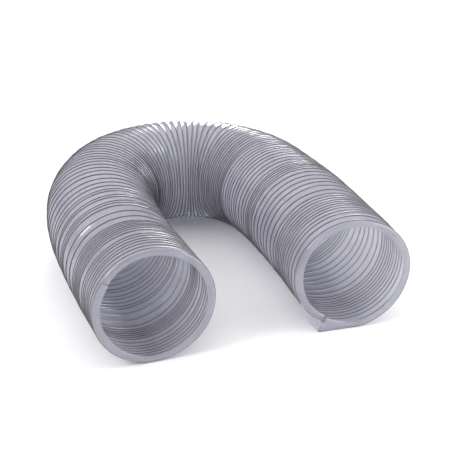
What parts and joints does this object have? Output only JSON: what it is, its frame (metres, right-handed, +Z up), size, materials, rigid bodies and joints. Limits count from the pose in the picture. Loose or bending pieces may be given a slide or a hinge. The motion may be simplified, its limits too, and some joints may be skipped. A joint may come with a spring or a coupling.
{
  "type": "flexible air duct",
  "caption": "Clear film air duct wound on a spring-steel wire, lying in a U with both round mouths open.",
  "frame": {"origin": "middle of the duct's overall box, on the surface it lies on", "axes": "+Z up; -Y out of the left mouth, along the left leg's end; the U opens towards -Y"},
  "size_m": [0.2946, 0.3589, 0.104],
  "materials": {
    "film": "clear glossy polyurethane film with a lavender-grey cast",
    "wire": "dark spring steel wire under film"
  },
  "bodies": {
    "section_01": {"film_section_01": "film", "wire_turns_01": "wire"},
    "section_02": {"film_section_02": "film", "wire_turns_02": "wire"},
    "section_03": {"film_section_03": "film", "wire_turns_03": "wire"},
    "section_04": {"film_section_04": "film", "wire_turns_04": "wire"},
    "section_05": {"film_section_05": "film", "wire_turns_05": "wire"},
    "section_06": {"film_section_06": "film", "wire_turns_06": "wire"},
    "section_07": {"film_section_07": "film", "wire_turns_07": "wire"},
    "section_08": {"film_section_08": "film", "wire_turns_08": "wire"},
    "section_09": {"film_section_09": "film", "wire_turns_09": "wire"},
    "section_10": {"film_section_10": "film", "wire_turns_10": "wire"},
    "section_11": {"film_section_11": "film", "wire_turns_11": "wire"},
    "section_12": {"film_section_12": "film", "wire_turns_12": "wire"},
    "section_13": {"film_section_13": "film", "wire_turns_13": "wire"}
  },
  "joints": [
    {"name": "left_end_stretch", "type": "slide", "parent": "section_02", "child": "section_01", "axis": [0, -1, 0], "range_m": [0, 0.06]},
    {"name": "left_leg_lift", "type": "hinge", "parent": "section_03", "child": "section_02", "pos_m": [-0.09432, -0.06493, 0.105], "axis": [-0.9994, 0.0349, 0], "range_deg": [0, 25]},
    {"name": "left_leg_stretch", "type": "slide", "parent": "section_04", "child": "section_03", "axis": [-0.0872, -0.9962, 0], "range_m": [0, 0.06]},
    {"name": "bend_1", "type": "hinge", "parent": "section_05", "child": "section_04", "pos_m": [-0.13354, 0.05499, 0.052], "axis": [0, 0, -1], "range_deg": [0, 15]},
    {"name": "bend_2", "type": "hinge", "parent": "section_06", "child": "section_05", "pos_m": [-0.10326, 0.12143, 0.052], "axis": [0, 0, -1], "range_deg": [0, 28]},
    {"name": "bend_3", "type": "hinge", "parent": "section_07", "child": "section_06", "pos_m": [-0.03468, 0.17311, 0.052], "axis": [0, 0, -1], "range_deg": [0, 36]},
    {"name": "bend_4", "type": "hinge", "parent": "section_07", "child": "section_08", "pos_m": [0.05118, 0.17461, 0.052], "axis": [0, 0, 1], "range_deg": [0, 39]},
    {"name": "bend_5", "type": "hinge", "parent": "section_08", "child": "section_09", "pos_m": [0.12272, 0.11872, 0.052], "axis": [0, 0, 1], "range_deg": [0, 34]},
    {"name": "bend_6", "type": "hinge", "parent": "section_09", "child": "section_10", "pos_m": [0.14625, 0.04409, 0.052], "axis": [0, 0, 1], "range_deg": [0, 16]},
    {"name": "right_leg_stretch", "type": "slide", "parent": "section_10", "child": "section_11", "axis": [0, -1, 0], "range_m": [0, 0.06]},
    {"name": "right_leg_lift", "type": "hinge", "parent": "section_11", "child": "section_12", "pos_m": [0.09337, -0.06752, 0.105], "axis": [-0.9976, 0.0698, 0], "range_deg": [0, 25]},
    {"name": "right_end_stretch", "type": "slide", "parent": "section_12", "child": "section_13", "axis": [-0.0872, -0.9962, 0], "range_m": [0, 0.06]}
  ]
}
